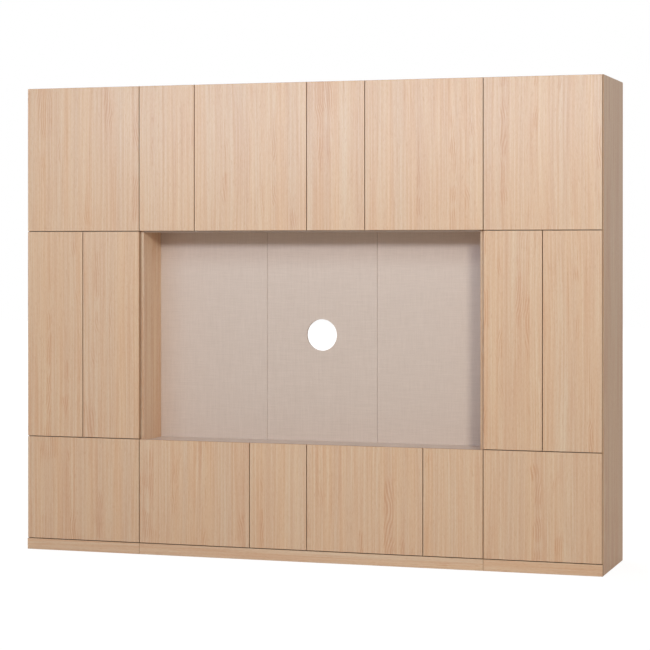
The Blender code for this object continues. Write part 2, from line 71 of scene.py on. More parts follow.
# Sizes shared with the frame's boards and hinges
CARCASS_BOARD = 0.016
DOOR_BOARD = 0.018
CARCASS_FRONT = 0.020
CUP_RADIUS = 0.0175
CUP_BORE_DEPTH = 0.0125
CUP_EDGE = 0.0045
HINGE_INSET = 0.100
TALL_DOOR = 0.9
ARM_CLEARANCE = 0.001
ARM_THICKNESS = 0.010
ARM_LENGTH = 0.062
ARM_HEIGHT = 0.0161
NOSE_TIP_GAP = 0.0035
NOSE_CHAMFER = 0.002
NOSE_REACH_IN = 0.031625
SHOULDER_SHARE = 0.35
PLATE_THICKNESS = 0.003
PLATE_SETBACK = 0.037
PLATE_WING_WIDTH = 0.014
PLATE_WING_HEIGHT = 0.046
PLATE_RAIL_LENGTH = 0.040
LATCH_WIDTH = 0.014
LATCH_HEIGHT = 0.012
LATCH_LENGTH = 0.055
LATCH_INSET = 0.045
FOOT_STEM_RADIUS = 0.013
FOOT_PAD_RADIUS = 0.022
FOOT_PAD_HEIGHT = 0.007
FOOT_INSET = 0.060
PLUNGER_RADIUS = 0.0032
RAIL_SHARE = 0.8
COVER_GAP = 0.0003

# Sizes of the fittings that only the looks have
SHEET_GAP = 0.00003
FLANGE_RADIUS = 0.0200
FLANGE_THICKNESS = 0.0009
EAR_OFFSET = 0.0095
EAR_RISE = 0.0225
EAR_RADIUS = 0.0062
CUP_PLAY = 0.0009
CUP_SEAT = 0.0002
PIN_IN = 0.0355
PIN_BACK = 0.0125
KNUCKLE_HALF = 0.0026
KNUCKLE_RISE = 0.0065
LINK_RIVET_RISE = 0.0040
ARM_SCREWS = ((0.0500, 0.0034), (0.0665, 0.0038))
ARM_RIVETS = ((0.0256, 0.0150), (0.0256, 0.0245))
LEVER_GROOVES = (0.0006, 0.0028, 0.0050)
WING_SCREW_INSET = 0.0070
LATCH_WING_REACH = 0.0075
LATCH_WING_FRONT = 0.018
LATCH_WING_REAR = 0.032
FOOT_RIB_PITCH = 0.0052
FOOT_SCREW_OUT = 0.0058
FOOT_FLANGE_OUT = 0.0090
BUMPER_ROOM = 0.0057
BUMPER_INSET = 0.020
REAR_PIN_INSET = 0.070
PIN_DROP = 0.0026
PIN_SEAT = 0.0003
PIN_PITCH = 0.032
SPARE_HOLE_STEPS = (-3, -2, -1, 1, 2, 3)
CAM_INSET = 0.034
CAM_SETBACK = 0.025
SCREW_PITCH = 0.19
REAR_SCREW_INSET = 0.030
REAR_SCREW_EDGE = 0.007
BRACKET_INSET = 0.09
BRACKET_DROP = 0.060

# How far the edges of stamped metal and moulded plastic are rounded
STAMPED_ROUND = 0.0004
MOULDED_ROUND = 0.0006

# Edges steeper than this many degrees stay sharp in the fittings' shading
SHARP_ANGLE = 40

# The floor's colour, its white for the camera, and its size to each side of the unit
FLOOR_COLOUR = (0.70, 0.65, 0.585, 1)
FLOOR_ROUGHNESS = 0.9
FLOOR_WHITE = 1.16
FLOOR_HALF = 30

# Shares of that white near the unit, far from it and in gloss, and where near and far lie
NEAR_SHARE = 0.8
FAR_SHARE = 1.0
GLOSS_SHARE = 0.35
NEAR_FLOOR = 5.0
FAR_FLOOR = 11.0

# How far in from the unit's outline the floor's shade grows full
SHADE_EDGE = 0.035

# Specular level of the melamine boards, and how rough the plain finishes are
BOARD_GLOSS = 0.6
LINEN_ROUGHNESS = 0.44
REAR_SHEET_ROUGHNESS = 0.7

# How much rougher the banded edges of the oak boards are than their faces
BAND_ROUGHNESS = 0.18

# How a board's seed starts and grows, so that no two boards share their grain, and how
# far a seed of 1 and a banded edge shift it
FIRST_SEED = 1.0
SEED_STEP = 0.731
SEED_SHIFT = (3.7, 1.9, 5.3)
BAND_SHIFT = 11.0

# A face looks along an axis where its normal has more than this share of it
FACING = 0.9

CARCASS = "carcass"
RIGHT_FACE = CAD_BOX[1].x
FRONT_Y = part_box("middle_door_1")[0].y
BACK_Y = CAD_BOX[1].y
TOP_Z = CAD_BOX[1].z

# Which upright carries each door's hinges
CARRIERS = {
    "top_door_1": "left_end_panel",
    "top_door_2": "centre_side_left",
    "top_door_3": "bridge_divider_1",
    "top_door_4": "bridge_divider_3",
    "top_door_5": "centre_side_right",
    "top_door_6": "right_end_panel",
    "middle_door_1": "left_end_panel",
    "middle_door_2": "left_tower_side",
    "middle_door_3": "right_tower_side",
    "middle_door_4": "right_end_panel",
    "bottom_door_1": "left_end_panel",
    "bottom_door_2": "centre_side_left",
    "bottom_door_3": "base_divider_1",
    "bottom_door_4": "base_divider_3",
    "bottom_door_5": "centre_side_right",
    "bottom_door_6": "right_end_panel",
}


# Colours


def srgb(red, green, blue):
    """An sRGB colour of 0 to 255 as linear RGBA."""
    def channel(value):
        share = value / 255
        return share / 12.92 if share <= 0.04045 else ((share + 0.055) / 1.055) ** 2.4
    return (channel(red), channel(green), channel(blue), 1)


# Oak decor: its tones with their places on the ramp, the two ends first
OAK_TONES = (
    (0.0, srgb(198, 146, 111.5)),
    (1.0, srgb(223, 199, 170.5)),
    (0.35, srgb(208, 166.5, 134.5)),
    (0.55, srgb(213.5, 178.5, 147.5)),
)
OAK_PALE_ZONE = srgb(209.5, 180, 154.5)
OAK_WARM_ZONE = srgb(218.5, 176.5, 137.5)
OAK_PORE = srgb(167, 127, 96)
OAK_TICK = srgb(192, 141, 108)
OAK_BAND = srgb(204.5, 171, 142)
# Dark brown that banded oak edges mix towards: partly a darker edge band, partly painted shade in
# the gaps between doors and boards
OAK_DARK_BAND_AND_SHADE = srgb(134, 97, 66)

# Linen-textured laminate and the coated sheet of the rear boards
LINEN_LIGHT = srgb(212, 192.5, 179)
LINEN_DARK = srgb(196, 175.5, 161.5)
# Dark brown for banded laminate edges: partly a darker edge band, partly painted shade under the
# overhanging doors
LINEN_DARK_BAND_AND_SHADE = srgb(140, 116, 98)
SHEET_DARK = srgb(198, 184, 168)
SHEET_LIGHT = srgb(216, 204, 190)
SHEET_FLECK = srgb(166, 146, 124)

WHITE = (1, 1, 1, 1)


# Small helpers for node trees


class Tree:
    """A node tree with short words for the nodes that these finishes use."""

    def __init__(self, tree):
        self.tree = tree

    def feed(self, socket, value):
        if isinstance(value, bpy.types.NodeSocket):
            self.tree.links.new(value, socket)
        elif value is not None:
            socket.default_value = value

    def node(self, kind, inputs=(), **settings):
        made = self.tree.nodes.new("ShaderNode" + kind)
        for key, value in settings.items():
            setattr(made, key, value)
        for key, value in dict(inputs).items():
            self.feed(made.inputs[key], value)
        return made

    def math(self, operation, first, second=None, third=None, clamp=False):
        made = self.node("Math", operation=operation, use_clamp=clamp)
        for socket, value in zip(made.inputs, (first, second, third)):
            self.feed(socket, value)
        return made.outputs[0]

    def vector(self, operation, first, second=None):
        made = self.node("VectorMath", operation=operation)
        for socket, value in zip(made.inputs, (first, second)):
            self.feed(socket, value)
        return made.outputs["Value" if operation == "DOT_PRODUCT" else "Vector"]

    def noise(self, place, stretch, detail=2.0, rough=0.5):
        """Noise of 0 to 1 whose cells are 1/stretch metres along each axis."""
        spot = self.vector("MULTIPLY", place, stretch)
        made = self.node("TexNoise", {"Vector": spot, "Scale": 1.0, "Detail": detail,
                                      "Roughness": rough})
        return made.outputs["Fac"]

    def spread(self, value, low, high, to_low=0.0, to_high=1.0):
        """A value from low..high, clamped, carried to to_low..to_high."""
        names = ("Value", "From Min", "From Max", "To Min", "To Max")
        made = self.node("MapRange", zip(names, (value, low, high, to_low, to_high)))
        return made.outputs["Result"]

    def ramp(self, share, stops):
        """A colour ramp with (place, colour) stops, of which the first two are its ends."""
        made = self.node("ValToRGB", {"Fac": share})
        points = made.color_ramp.elements
        for point, (place, colour) in zip(points, stops[:2]):
            point.position = place
            point.color = colour
        for place, colour in stops[2:]:
            points.new(place).color = colour
        return made.outputs["Color"]

    def mix(self, share, first, second):
        made = self.node("Mix", data_type="RGBA")
        self.feed(made.inputs[0], share)
        self.feed(made.inputs[6], first)
        self.feed(made.inputs[7], second)
        return made.outputs[2]

    def group(self, name, inputs):
        made = self.node("Group")
        made.node_tree = bpy.data.node_groups[name]
        for key, value in inputs.items():
            self.feed(made.inputs[key], value)
        return made.outputs


def open_group(name, inputs, outputs):
    """Makes a group and gives its tree with its input and output sockets."""
    made = bpy.data.node_groups.new(name, "ShaderNodeTree")
    for label, kind, start in inputs:
        socket = made.interface.new_socket(label, in_out="INPUT", socket_type="NodeSocket" + kind)
        if start is not None:
            socket.default_value = start
    for label, kind in outputs:
        made.interface.new_socket(label, in_out="OUTPUT", socket_type="NodeSocket" + kind)
    tree = Tree(made)
    source = made.nodes.new("NodeGroupInput")
    target = made.nodes.new("NodeGroupOutput")
    return tree, source.outputs, target.inputs


def new_material(name):
    """A new material with its tree and its Principled shader's inputs."""
    made = bpy.data.materials.new(name)
    made.use_nodes = True
    shader = made.node_tree.nodes["Principled BSDF"]
    return made, Tree(made.node_tree), shader.inputs


def bump(tree, height, strength, distance):
    """A bump normal from a height value."""
    made = tree.node("Bump", {"Strength": strength, "Distance": distance, "Height": height})
    return made.outputs["Normal"]


# Effects that several finishes share


def make_board_axes():
    """Places on a board with its grain along Z, and which faces are banded edges.

    Turned is 1 for a board whose grain runs along X. On the top and bottom edges of
    an upright board the band's grain runs along the edge.
    """
    tree, source, target = open_group(
        "board_axes",
        [("Turned", "Float", 0.0), ("Face Axis X", "Float", 0.0), ("Face Axis Z", "Float", 0.0)],
        [("Place", "Vector"), ("Edge", "Float")],
    )
    coords = tree.node("TexCoord")
    seed = tree.node("Attribute", attribute_type="OBJECT", attribute_name="board_seed")
    normal = tree.node("SeparateXYZ", {"Vector": coords.outputs["Normal"]})
    steep_x, steep_y, steep_z = (
        tree.math("GREATER_THAN", tree.math("ABSOLUTE", normal.outputs[axis]), FACING)
        for axis in "XYZ"
    )
    face_xz = tree.math("ADD", source["Face Axis X"], source["Face Axis Z"])
    face_y = tree.math("SUBTRACT", 1.0, face_xz)
    wide = tree.math("MULTIPLY", steep_x, source["Face Axis X"])
    wide = tree.math("MULTIPLY_ADD", steep_z, source["Face Axis Z"], wide)
    wide = tree.math("MULTIPLY_ADD", steep_y, face_y, wide)
    edge = tree.math("SUBTRACT", 1.0, wide, clamp=True)
    swap = tree.math("MAXIMUM", source["Turned"], tree.math("MULTIPLY", steep_z, edge))
    spot = tree.node("SeparateXYZ", {"Vector": coords.outputs["Object"]})
    swapped = {"X": spot.outputs["Z"], "Y": spot.outputs["Y"], "Z": spot.outputs["X"]}
    turned = tree.node("CombineXYZ", swapped)
    picked = tree.node("Mix", data_type="VECTOR")
    tree.feed(picked.inputs[0], swap)
    tree.feed(picked.inputs[4], coords.outputs["Object"])
    tree.feed(picked.inputs[5], turned.outputs[0])
    shift = tree.node("CombineXYZ", {
        axis: tree.math("MULTIPLY", seed.outputs["Fac"], reach)
        for axis, reach in zip("XYZ", SEED_SHIFT)
    })
    banded = tree.math("MULTIPLY", edge, BAND_SHIFT)
    offset = tree.vector("ADD", shift.outputs[0], tree.node("CombineXYZ", {"Z": banded}).outputs[0])
    tree.feed(target["Place"], tree.vector("ADD", picked.outputs[1], offset))
    tree.feed(target["Edge"], edge)


def make_oak_grain():
    """Colour, roughness and height of a pale oak decor whose grain runs along Z."""
    tree, source, target = open_group(
        "oak_grain",
        [("Place", "Vector", None), ("Contrast", "Float", 1.6)],
        [("Color", "Color"), ("Roughness", "Float"), ("Height", "Float")],
    )
    place = source["Place"]
    sway = tree.noise(place, (2.2, 2.2, 0.8), detail=1.0)
    drift = tree.math("MULTIPLY_ADD", sway, 0.03, -0.015)
    wobble = tree.noise(place, (15.0, 15.0, 3.4), detail=1.0)
    drift = tree.math("MULTIPLY_ADD", wobble, 0.004, drift)
    aside = tree.node("CombineXYZ", {"X": drift, "Y": drift, "Z": 0.0}).outputs[0]
    place = tree.vector("ADD", place, aside)
    bands = tree.noise(place, (8.0, 8.0, 0.22), detail=2.0, rough=0.6)
    streaks = tree.noise(place, (112.0, 112.0, 1.15), detail=3.0, rough=0.63)
    fibres = tree.noise(place, (430.0, 430.0, 58.0), detail=2.0, rough=0.6)
    tone = tree.math("MULTIPLY", bands, 0.22)
    tone = tree.math("MULTIPLY_ADD", streaks, 1.0, tone)
    tone = tree.math("MULTIPLY_ADD", fibres, 0.42, tone)
    flames = tree.group("oak_flames", {"Place": place})["Value"]
    tone = tree.math("MULTIPLY_ADD", flames, -0.44, tone)
    tone = tree.math("SUBTRACT", tone, 0.81)
    tone = tree.math("MULTIPLY_ADD", tone, source["Contrast"], 0.5)
    colour = tree.ramp(tone, OAK_TONES)
    warmth = tree.spread(tree.noise(place, (18.0, 18.0, 0.35), detail=1.0, rough=0.5), 0.30, 0.70)
    colour = tree.mix(0.30, colour, tree.mix(warmth, OAK_PALE_ZONE, OAK_WARM_ZONE))
    dashes = tree.noise(place, (1500.0, 1500.0, 34.0), detail=1.0, rough=0.4)
    pores = tree.spread(dashes, 0.60, 0.70)
    pores = tree.math("MULTIPLY", pores, tree.spread(fibres, 0.35, 0.6, 1.0, 0.25))
    colour = tree.mix(tree.math("MULTIPLY", pores, 0.30), colour, OAK_PORE)
    ticks = tree.spread(tree.noise(place, (210.0, 210.0, 26.0), detail=1.0, rough=0.4), 0.62, 0.74)
    colour = tree.mix(tree.math("MULTIPLY", ticks, 0.30), colour, OAK_TICK)
    tree.feed(target["Color"], colour)
    haze = tree.noise(place, (3.0, 3.0, 2.0), detail=3.0)
    rough = tree.math("MULTIPLY_ADD", pores, 0.14, 0.30)
    tree.feed(target["Roughness"], tree.math("MULTIPLY_ADD", haze, 0.08, rough))
    height = tree.math("MULTIPLY_ADD", pores, -0.7, tree.math("MULTIPLY", fibres, 0.3))
    tree.feed(target["Height"], height)


def make_oak_flames():
    """Sparse narrow columns of short slanted strokes, the tips of the year rings."""
    tree, source, target = open_group(
        "oak_flames",
        [("Place", "Vector", None)],
        [("Value", "Float")],
    )
    place = source["Place"]
    across = tree.vector("DOT_PRODUCT", place, (85.0, 85.0, 0.0))
    slant = tree.noise(place, (7.0, 7.0, 4.5), detail=1.0)
    phase = tree.math("MULTIPLY", tree.math("MULTIPLY_ADD", slant, 6.5, across), 2 * math.pi)
    lines = tree.math("MULTIPLY_ADD", tree.math("SINE", phase), 0.5, 0.5)
    lines = tree.math("POWER", lines, 1.6)
    columns = tree.spread(tree.noise(place, (17.0, 17.0, 0.9), detail=1.0), 0.57, 0.67)
    breaks = tree.spread(tree.noise(place, (12.0, 12.0, 7.0), detail=1.0), 0.45, 0.58)
    tree.feed(target["Value"], tree.math("MULTIPLY", lines, tree.math("MULTIPLY", columns, breaks)))


def make_linen_weave():
    """Colour and height of a fine linen-textured laminate; threads run along X and Z."""
    tree, source, target = open_group(
        "linen_weave",
        [("Place", "Vector", None), ("Light", "Color", LINEN_LIGHT), ("Dark", "Color", LINEN_DARK)],
        [("Color", "Color"), ("Height", "Float")],
    )
    place = source["Place"]
    upright = tree.noise(place, (900.0, 900.0, 22.0), detail=2.0)
    level = tree.noise(place, (22.0, 22.0, 900.0), detail=2.0)
    slub_up = tree.noise(place, (210.0, 210.0, 9.0), detail=1.0)
    slub_level = tree.noise(place, (9.0, 9.0, 210.0), detail=1.0)
    cloud = tree.noise(place, (5.0, 5.0, 5.0), detail=2.0)
    weave = tree.math("ADD", upright, level)
    slubs = tree.math("ADD", slub_up, slub_level)
    tone = tree.math("MULTIPLY_ADD", weave, 0.45, tree.math("MULTIPLY", slubs, 0.36))
    tone = tree.math("MULTIPLY_ADD", cloud, 0.03, tone)
    tone = tree.spread(tone, 0.555, 1.095)
    tree.feed(target["Color"], tree.mix(tone, source["Dark"], source["Light"]))
    tree.feed(target["Height"], weave)


def make_plated_metal():
    """Roughness and height of stamped, plated metal with a faint drawn texture."""
    tree, source, target = open_group(
        "plated_metal",
        [("Rough", "Float", 0.25)],
        [("Tint", "Float"), ("Roughness", "Float"), ("Height", "Float")],
    )
    coords = tree.node("TexCoord").outputs["Object"]
    lines = tree.noise(coords, (300.0, 300.0, 4000.0), detail=2.0)
    mottle = tree.noise(coords, (160.0, 160.0, 160.0), detail=3.0)
    blur = tree.math("MULTIPLY_ADD", mottle, 0.16, -0.08)
    rough = tree.math("ADD", source["Rough"], blur)
    tree.feed(target["Roughness"], tree.math("MULTIPLY_ADD", lines, 0.06, rough))
    tree.feed(target["Tint"], mottle)
    tree.feed(target["Height"], lines)


def make_fine_grain():
    """A fine pebbled height and a soft tone for moulded plastic and coated sheet."""
    tree, source, target = open_group(
        "fine_grain",
        [("Cells", "Float", 1400.0)],
        [("Tone", "Float"), ("Height", "Float")],
    )
    coords = tree.node("TexCoord").outputs["Object"]
    cells = tree.node("CombineXYZ", {axis: source["Cells"] for axis in "XYZ"})
    tree.feed(target["Height"], tree.noise(coords, cells.outputs[0], detail=2.0))
    tree.feed(target["Tone"], tree.noise(coords, (45.0, 45.0, 45.0), detail=3.0))


# Finishes


def oak_finish(name, turned, face_x, edge_dark_and_shade, contrast, dullness):
    """Melamine faced board in the oak decor, with banded edges.

    Face_x is 1 for a board whose broad faces look along X. The edge share says how far the
    banded edges mix towards a dark brown, partly a darker edge band and partly painted shade
    in the gaps between doors and boards; dullness is added to the decor's own roughness.
    """
    made, tree, shader = new_material(name)
    axes = tree.group("board_axes", {"Turned": turned, "Face Axis X": face_x})
    grain = tree.group("oak_grain", {"Place": axes["Place"], "Contrast": contrast})
    band = tree.mix(tree.math("MULTIPLY", axes["Edge"], 0.16), grain["Color"], OAK_BAND)
    # Banded edges mixed towards dark brown: partly a darker edge band, partly painted shade of the
    # gaps
    band = tree.mix(tree.math("MULTIPLY", axes["Edge"], edge_dark_and_shade), band, OAK_DARK_BAND_AND_SHADE)
    tree.feed(shader["Base Color"], band)
    rough = tree.math("MULTIPLY_ADD", axes["Edge"], BAND_ROUGHNESS, grain["Roughness"])
    tree.feed(shader["Roughness"], tree.math("ADD", rough, dullness))
    shader["Specular IOR Level"].default_value = BOARD_GLOSS
    tree.feed(shader["Normal"], bump(tree, grain["Height"], 0.30, 0.00012))
    return made


def laminate_finish(name, face_z, edge_dark_and_shade):
    """Beige linen-textured laminate on board. Face_z is 1 for a level board."""
    made, tree, shader = new_material(name)
    axes = tree.group("board_axes", {"Face Axis Z": face_z})
    weave = tree.group("linen_weave", {"Place": axes["Place"]})
    # Banded edges mixed towards dark brown: partly a darker edge band, partly painted shade under
    # the overhanging doors
    share = tree.math("MULTIPLY", axes["Edge"], edge_dark_and_shade)
    tree.feed(shader["Base Color"], tree.mix(share, weave["Color"], LINEN_DARK_BAND_AND_SHADE))
    shader["Roughness"].default_value = LINEN_ROUGHNESS
    shader["Specular IOR Level"].default_value = BOARD_GLOSS
    tree.feed(shader["Normal"], bump(tree, weave["Height"], 0.12, 0.00012))
    return made


def rear_sheet_finish():
    """Lacquered fibreboard with a faint flecked print."""
    made, tree, shader = new_material("rear_sheet_coated")
    grain = tree.group("fine_grain", {"Cells": 700.0})
    flecks = tree.spread(grain["Height"], 0.58, 0.74)
    colour = tree.mix(grain["Tone"], SHEET_DARK, SHEET_LIGHT)
    colour = tree.mix(tree.math("MULTIPLY", flecks, 0.25), colour, SHEET_FLECK)
    tree.feed(shader["Base Color"], colour)
    shader["Roughness"].default_value = REAR_SHEET_ROUGHNESS
    tree.feed(shader["Normal"], bump(tree, grain["Height"], 0.2, 0.0002))
    return made


def metal_finish(name, dark, light, rough):
    """Plated or cast metal with a slightly uneven tone."""
    made, tree, shader = new_material(name)
    plated = tree.group("plated_metal", {"Rough": rough})
    tree.feed(shader["Base Color"], tree.mix(plated["Tint"], dark, light))
    shader["Metallic"].default_value = 1.0
    tree.feed(shader["Roughness"], plated["Roughness"])
    tree.feed(shader["Normal"], bump(tree, plated["Height"], 0.12, 0.0001))
    return made


def plastic_finish(name, dark, light, rough):
    """Moulded plastic with a fine pebbled skin."""
    made, tree, shader = new_material(name)
    grain = tree.group("fine_grain", {})
    tree.feed(shader["Base Color"], tree.mix(grain["Tone"], dark, light))
    shader["Roughness"].default_value = rough
    tree.feed(shader["Normal"], bump(tree, grain["Height"], 0.15, 0.0001))
    return made


make_board_axes()
make_oak_flames()
make_oak_grain()
make_linen_weave()
make_plated_metal()
make_fine_grain()

# The edge shares below darken banded edges: partly a darker edge band, partly painted shade in the
# gaps, strongest on the plinth
OAK_DOOR = oak_finish("oak_door_board", turned=0.0, face_x=0.0, edge_dark_and_shade=0.45,
                      contrast=1.6, dullness=0.0)
OAK_UPRIGHT = oak_finish("oak_upright_board", turned=0.0, face_x=1.0, edge_dark_and_shade=0.22,
                         contrast=2.9, dullness=0.14)
OAK_PLINTH = oak_finish("oak_plinth_board", turned=1.0, face_x=0.0, edge_dark_and_shade=0.75,
                        contrast=1.6, dullness=0.08)
LINEN_PANEL = laminate_finish("linen_panel", face_z=0.0, edge_dark_and_shade=0.0)
LINEN_DECK = laminate_finish("linen_deck", face_z=1.0, edge_dark_and_shade=0.28)
REAR_SHEET = rear_sheet_finish()
NICKEL = metal_finish("nickel_plate", srgb(186, 184, 180), srgb(214, 212, 208), 0.26)
ZINC = metal_finish("zinc_casting", srgb(150, 150, 150), srgb(184, 184, 184), 0.42)
# Near-black plastic laid into screw recesses, slots, grooves and rings: painted shade
RECESS_SHADE = plastic_finish("painted_recess_shade", srgb(24, 23, 22), srgb(38, 36, 34), 0.8)
GREY_PLASTIC = plastic_finish("grey_plastic", srgb(150, 150, 148), srgb(168, 168, 166), 0.5)
WHITE_PLASTIC = plastic_finish("white_plastic", srgb(222, 220, 215), srgb(236, 234, 230), 0.42)
BLACK_PLASTIC = plastic_finish("black_plastic", srgb(26, 26, 27), srgb(44, 44, 45), 0.55)


# Finishes on the frame's own boards


def dress_boards():
    """Gives each board its finish and a seed that shifts its grain."""
    deck_words = ("top", "bottom", "deck", "shelf", "ceiling", "floor")
    for index, (name, board) in enumerate(sorted(frame["nodes"].items())):
        board["board_seed"] = FIRST_SEED + index * SEED_STEP
        if "door" in name:
            finish = OAK_DOOR
        elif "plinth" in name:
            finish = OAK_PLINTH
        elif "end_panel" in name or "tower_side" in name or "centre_side" in name:
            finish = OAK_UPRIGHT
        elif name.endswith("_back"):
            finish = REAR_SHEET
        elif any(word in name for word in deck_words):
            finish = LINEN_DECK
        else:
            finish = LINEN_PANEL
        for slot in board.material_slots:
            slot.material = finish


dress_boards()


# Fittings, stamped from small kits

FITTING_FINISHES = (NICKEL, ZINC, RECESS_SHADE, GREY_PLASTIC, WHITE_PLASTIC, BLACK_PLASTIC)
TOWARDS_X = Matrix.Rotation(math.radians(90), 4, "Y")
TOWARDS_BACK = Matrix.Rotation(math.radians(-90), 4, "X")
TOWARDS_FRONT = Matrix.Rotation(math.radians(90), 4, "X")
DOWNWARD = Matrix.Rotation(math.radians(180), 4, "X")
UPRIGHT = Matrix()


def at(x, y, z):
    return Matrix.Translation((x, y, z))


def round_edges(part, reach):
    """Rounds a part's edges, unless the reach is nothing."""
    if reach:
        bmesh.ops.bevel(part, geom=part.edges[:], offset=reach, segments=2, profile=0.5,
                        affect="EDGES")


class Kit:
    """A small fitting built from bevelled blocks, plan outlines and turned profiles."""

    def __init__(self):
        self.bm = bmesh.new()

    def take(self, part, matrix, finish):
        """Adds a part at its place with its finish."""
        bmesh.ops.recalc_face_normals(part, faces=part.faces)
        bmesh.ops.transform(part, matrix=matrix, verts=part.verts)
        for face in part.faces:
            face.material_index = FITTING_FINISHES.index(finish)
        mesh = bpy.data.meshes.new("part")
        part.to_mesh(mesh)
        part.free()
        self.bm.from_mesh(mesh)
        bpy.data.meshes.remove(mesh)

    def block(self, low, high, finish, bevel=0.0, matrix=UPRIGHT):
        """A block between two corners with rounded edges."""
        low, high = Vector(low), Vector(high)
        part = bmesh.new()
        size = Matrix.Diagonal((*(high - low), 1))
        bmesh.ops.create_cube(part, size=1, matrix=Matrix.Translation((low + high) / 2) @ size)
        round_edges(part, bevel)
        self.take(part, matrix, finish)

    def outline(self, points, low, high, finish, bevel):
        """A plan outline of (x, y) points raised from low to high."""
        part = bmesh.new()
        face = part.faces.new([part.verts.new((x, y, low)) for x, y in points])
        raised = bmesh.ops.extrude_face_region(part, geom=[face])["geom"]
        moved = [item for item in raised if isinstance(item, bmesh.types.BMVert)]
        bmesh.ops.translate(part, vec=(0, 0, high - low), verts=moved)
        round_edges(part, bevel)
        self.take(part, UPRIGHT, finish)

    def turned(self, profile, finish, matrix, steps):
        """A closed body turned round Z from (radius, height) points."""
        part = bmesh.new()
        ring = [part.verts.new((radius, 0, height)) for radius, height in profile]
        ring += [part.edges.new(pair) for pair in zip(ring, ring[1:])]
        bmesh.ops.spin(part, geom=ring, cent=(0, 0, 0), axis=(0, 0, 1), angle=2 * math.pi,
                       steps=steps, use_merge=True)
        bmesh.ops.remove_doubles(part, verts=part.verts, dist=0.000001)
        self.take(part, matrix, finish)

    def screw(self, matrix, radius, height):
        """A pan head with a cross recess, standing on its seat along local Z."""
        self.turned([(0, height), (0.55 * radius, height), (0.85 * radius, 0.8 * height),
                     (radius, 0.4 * height), (radius, 0), (0, 0)], ZINC, matrix, 16)
        # The cross recess is two near-black blocks over the head: painted shade
        for along, across in ((0.55, 0.13), (0.13, 0.55)):
            self.block((-along * radius, -across * radius, 0.9 * height),
                       (along * radius, across * radius, 1.04 * height), RECESS_SHADE, 0.0, matrix)

    def done(self, name):
        mesh = bpy.data.meshes.new(name)
        self.bm.to_mesh(mesh)
        self.bm.free()
        return mesh


def stamped(name, body, stamps):
    """One piece made of stamped copies of kits, riding on a body."""
    bm = bmesh.new()
    for mesh, matrix in stamps:
        copy = mesh.copy()
        copy.transform(matrix)
        if matrix.determinant() < 0:
            copy.flip_normals()
        bm.from_mesh(copy)
        bpy.data.meshes.remove(copy)
    mesh = bpy.data.meshes.new(name)
    used = sorted({face.material_index for face in bm.faces})
    for face in bm.faces:
        face.material_index = used.index(face.material_index)
    bm.to_mesh(mesh)
    bm.free()
    for index in used:
        mesh.materials.append(FITTING_FINISHES[index])
    mesh.shade_smooth()
    mesh.set_sharp_from_angle(angle=math.radians(SHARP_ANGLE))
    made = bpy.data.objects.new(name, mesh)
    bpy.context.scene.collection.objects.link(made)
    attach(made, body)


def arm_face(edge, side, carrier):
    """How far in from the door's edge the upright's inner face lies."""
    low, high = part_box(carrier)
    face_x = low.x + CARCASS_BOARD if side > 0 else high.x - CARCASS_BOARD
    return round(side * (face_x - edge), 5)


def hinge_heights(low, high):
    """Heights of a door's hinges, spread evenly between its end insets."""
    count = 3 if high - low > TALL_DOOR else 2
    first = low + HINGE_INSET
    step = (high - low - 2 * HINGE_INSET) / (count - 1)
    return [first + index * step for index in range(count)]


def cup_kit():
    """Hinge cup with its flange, screw ears, pivot pin and folded link."""
    kit = Kit()
    centre = CUP_EDGE + CUP_RADIUS
    back = DOOR_BOARD + SHEET_GAP
    floor = DOOR_BOARD - CUP_BORE_DEPTH + CUP_SEAT
    top = DOOR_BOARD + FLANGE_THICKNESS
    pot = CUP_RADIUS - CUP_PLAY
    kit.turned([
        (0, floor + 0.0006), (pot - 0.0012, floor + 0.0006), (pot - 0.0003, floor + 0.0012),
        (pot, floor + 0.0024), (pot, top - 0.0006), (pot + 0.0006, top),
        (FLANGE_RADIUS - 0.0003, top), (FLANGE_RADIUS, top - 0.0003), (FLANGE_RADIUS, back),
        (pot + 0.0003, back), (pot + 0.0003, floor), (0, floor),
    ], NICKEL, at(centre, 0, 0) @ TOWARDS_BACK, 40)
    ear = centre + EAR_OFFSET
    for end in (-1, 1):
        rise = end * EAR_RISE
        inner, outer = sorted((end * (CUP_RADIUS - 0.0010), rise + end * EAR_RADIUS))
        kit.block((ear - EAR_RADIUS, back, inner), (ear + EAR_RADIUS, top, outer), NICKEL, 0.0003)
        kit.turned([(0, top), (EAR_RADIUS, top), (EAR_RADIUS, back), (0, back)], NICKEL,
                   at(ear, 0, rise) @ TOWARDS_BACK, 20)
        kit.screw(at(ear, top, rise) @ TOWARDS_BACK, 0.0038, 0.0016)
        knuckle = end * KNUCKLE_RISE
        kit.block((PIN_IN - KNUCKLE_HALF, PIN_BACK - KNUCKLE_HALF, knuckle - 0.0009),
                  (PIN_IN + KNUCKLE_HALF, PIN_BACK + KNUCKLE_HALF, knuckle + 0.0009), ZINC, 0.0008)
        kit.turned([(0, 0.0008), (0.0014, 0.0006), (0.0019, 0), (0, 0)], ZINC,
                   at(PIN_IN - 0.013, floor + 0.0018, end * LINK_RIVET_RISE) @ TOWARDS_BACK, 14)
    kit.turned([(0, 0.0088), (0.0013, 0.0088), (0.0016, 0.0084), (0.0016, -0.0084),
                (0.0013, -0.0088), (0, -0.0088)], NICKEL, at(PIN_IN, PIN_BACK, 0), 14)
    kit.block((PIN_IN - 0.0230, floor + 0.0008, -0.0066), (PIN_IN - 0.0008, floor + 0.0018, 0.0066),
              NICKEL, STAMPED_ROUND)
    kit.block((PIN_IN - 0.0014, floor + 0.0008, -0.0060), (PIN_IN - 0.0004, PIN_BACK, 0.0060),
              NICKEL, STAMPED_ROUND)
    return kit.done("hinge_cup")


